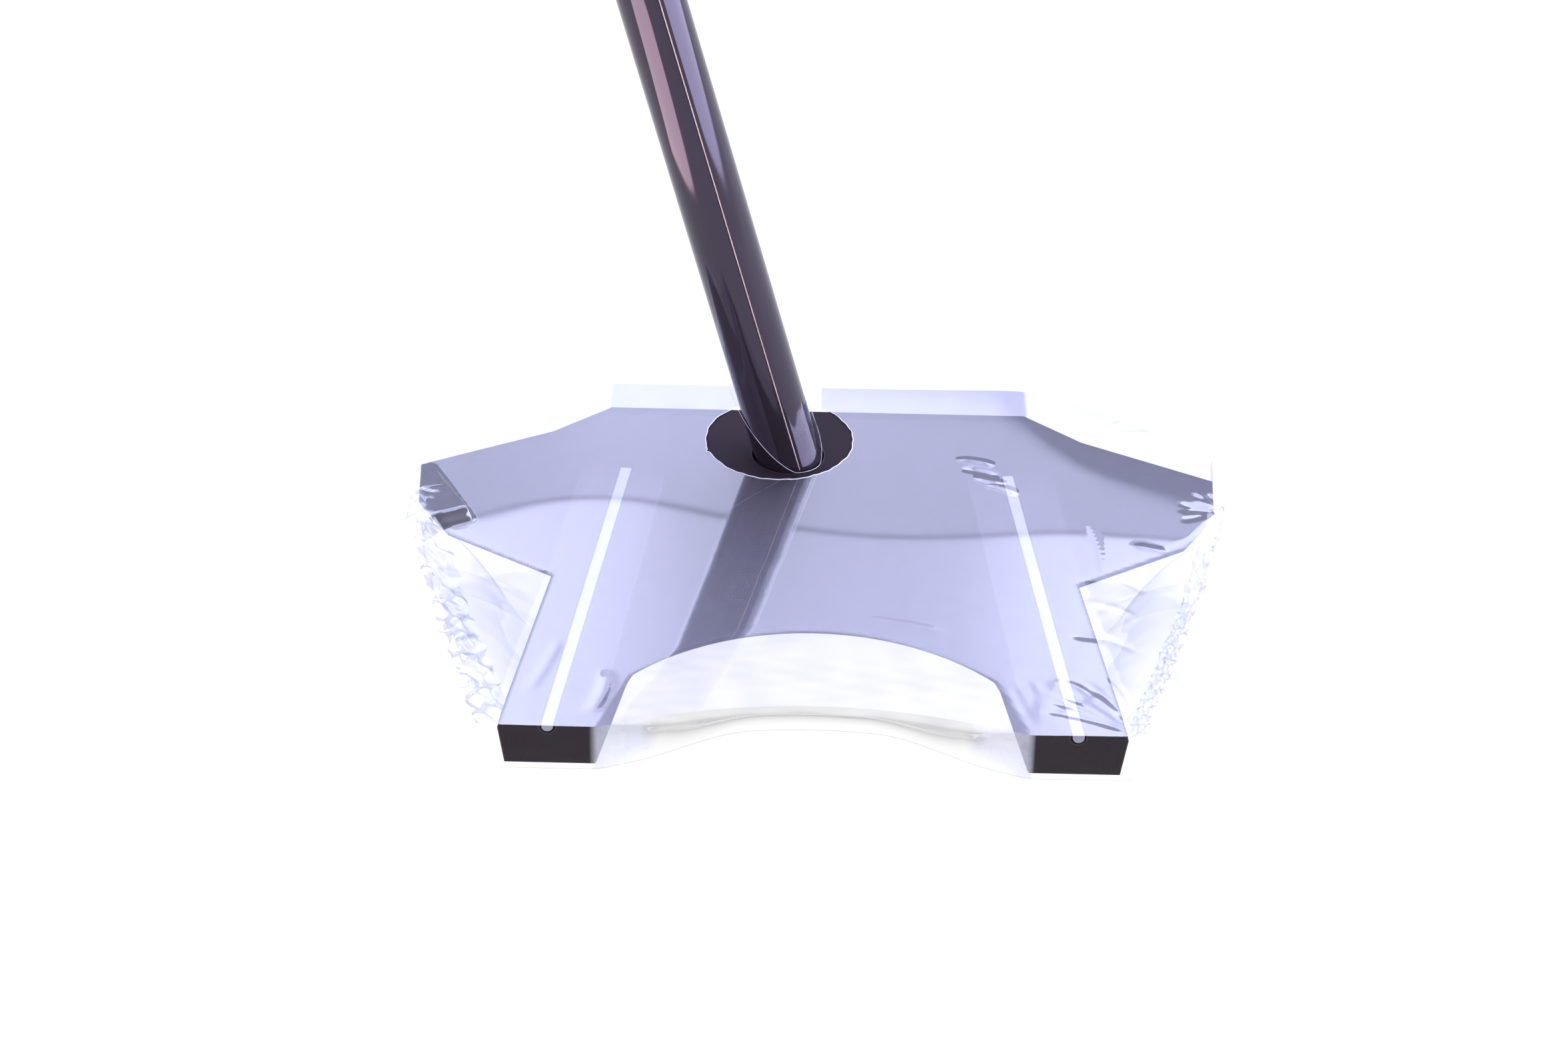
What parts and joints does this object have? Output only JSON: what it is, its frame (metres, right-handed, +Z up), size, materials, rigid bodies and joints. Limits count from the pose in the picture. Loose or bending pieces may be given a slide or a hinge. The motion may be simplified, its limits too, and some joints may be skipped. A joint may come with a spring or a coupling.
{
  "type": "mallet putter",
  "caption": "Right-handed mallet golf putter with a winged two-fang head, near centre shaft, sight lines, grip and clear protective wrap.",
  "frame": {"origin": "on the ground plane under the middle of the sole flat, 12 mm behind the striking face, on the head's centre line", "axes": "+X to the toe, +Y to the target, +Z up; the crown is level"},
  "size_m": [0.3079, 0.1753, 0.8273],
  "materials": {
    "black_metal": "black anodised milled aluminium, satin",
    "insert_metal": "milled dark plate",
    "foam_pad": "double-sided foam pad",
    "steel": "brushed stainless steel",
    "rubber": "matte rubber",
    "sight_paint": "white paint fill",
    "clear_film": "glossy clear shrink film",
    "dark_chrome": "black chrome, mirror",
    "epoxy": "set epoxy",
    "band_film": "plain silver-grey band",
    "tape": "double-sided paper tape",
    "grip_rubber": "moulded rubber, fine texture"
  },
  "bodies": {
    "root": {"head_body": "black_metal", "face_insert": "insert_metal", "insert_pad": "foam_pad", "sole_plate": "steel", "sole_screw_1": "steel", "sole_screw_2": "steel", "sole_screw_3": "steel", "sole_screw_4": "steel", "sole_weight_toe": "steel", "sole_weight_heel": "steel", "weight_ring_toe": "rubber", "weight_ring_heel": "rubber", "sight_line_toe": "sight_paint", "sight_line_heel": "sight_paint", "head_wrap": "clear_film", "shaft": "dark_chrome", "shaft_tip_plug": "rubber", "shaft_bond": "epoxy", "shaft_sleeve": "clear_film", "shaft_band": "band_film", "grip_tape": "tape", "grip": "grip_rubber", "grip_cap": "grip_rubber"}
  },
  "joints": []
}
